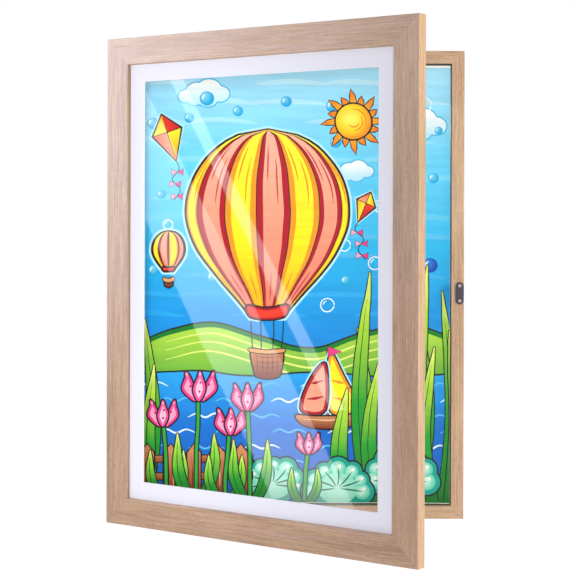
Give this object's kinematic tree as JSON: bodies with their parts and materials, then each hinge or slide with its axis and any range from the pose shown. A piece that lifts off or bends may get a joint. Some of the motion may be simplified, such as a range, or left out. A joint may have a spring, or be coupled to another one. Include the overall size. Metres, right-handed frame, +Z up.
{
  "type": "childrens art frame",
  "caption": "Wall-hung wooden display frame whose glazed, matted door swings open on side hinges so that A3 drawings can be changed and stored in the shallow box behind it.",
  "frame": {"origin": "middle notch of the upper sawtooth hanger, on the wall's plane, where the wall nail sits", "axes": "+Z up, +Y into the wall, so the front faces -Y and the door hinge is on the -X side; the door stands open 34.7 degrees at rest"},
  "size_m": [0.3391, 0.2261, 0.457],
  "materials": {
    "door_oak": "matt printed oak veneer",
    "box_oak": "matt printed oak veneer",
    "clear_acrylic": "clear, glossy",
    "mat_board": "smooth matt white board",
    "artwork_paper": "marker and watercolour on white paper",
    "plain_paper": "stacked drawing paper",
    "fibreboard": "plain fibreboard",
    "hinge_steel": "nickel-plated, satin",
    "hanger_steel": "zinc-plated, satin",
    "zinc_steel": "zinc-plated",
    "catch_plate_steel": "dark plated steel",
    "magnet_nickel": "nickel-plated magnet",
    "clear_rubber": "translucent soft rubber",
    "grey_rubber": "soft grey rubber"
  },
  "bodies": {
    "box": {"box_rail_top": "box_oak", "box_rail_bottom": "box_oak", "box_stile_hinge": "box_oak", "box_stile_latch": "box_oak", "box_corner_nails": "zinc_steel", "back_panel": "fibreboard", "back_panel_staples": "zinc_steel", "artwork_sheet": "artwork_paper", "stored_drawings": "plain_paper", "catch_plate": "catch_plate_steel", "catch_plate_screws": "zinc_steel", "hinge_upper_box_leaf": "hinge_steel", "hinge_lower_box_leaf": "hinge_steel", "hinge_upper_pin": "hinge_steel", "hinge_lower_pin": "hinge_steel", "hinge_box_screws": "zinc_steel", "hanger_portrait": "hanger_steel", "hanger_landscape": "hanger_steel", "hanger_nails": "zinc_steel", "wall_dots": "grey_rubber"},
    "door": {"door_rail_top": "door_oak", "door_rail_bottom": "door_oak", "door_stile_hinge": "door_oak", "door_stile_latch": "door_oak", "door_glazing": "clear_acrylic", "door_mat": "mat_board", "glazing_points": "zinc_steel", "door_corner_nails": "zinc_steel", "hinge_upper_door_leaf": "hinge_steel", "hinge_lower_door_leaf": "hinge_steel", "hinge_door_screws": "zinc_steel", "catch_magnet": "magnet_nickel", "magnet_cup": "hinge_steel", "closing_dots": "clear_rubber"}
  },
  "joints": [
    {"name": "door_hinge", "type": "hinge", "parent": "box", "child": "door", "pos_m": [-0.16545, -0.02545, -0.2141], "axis": [0, 0, -1], "range_deg": [-34.7, 90.3]}
  ]
}
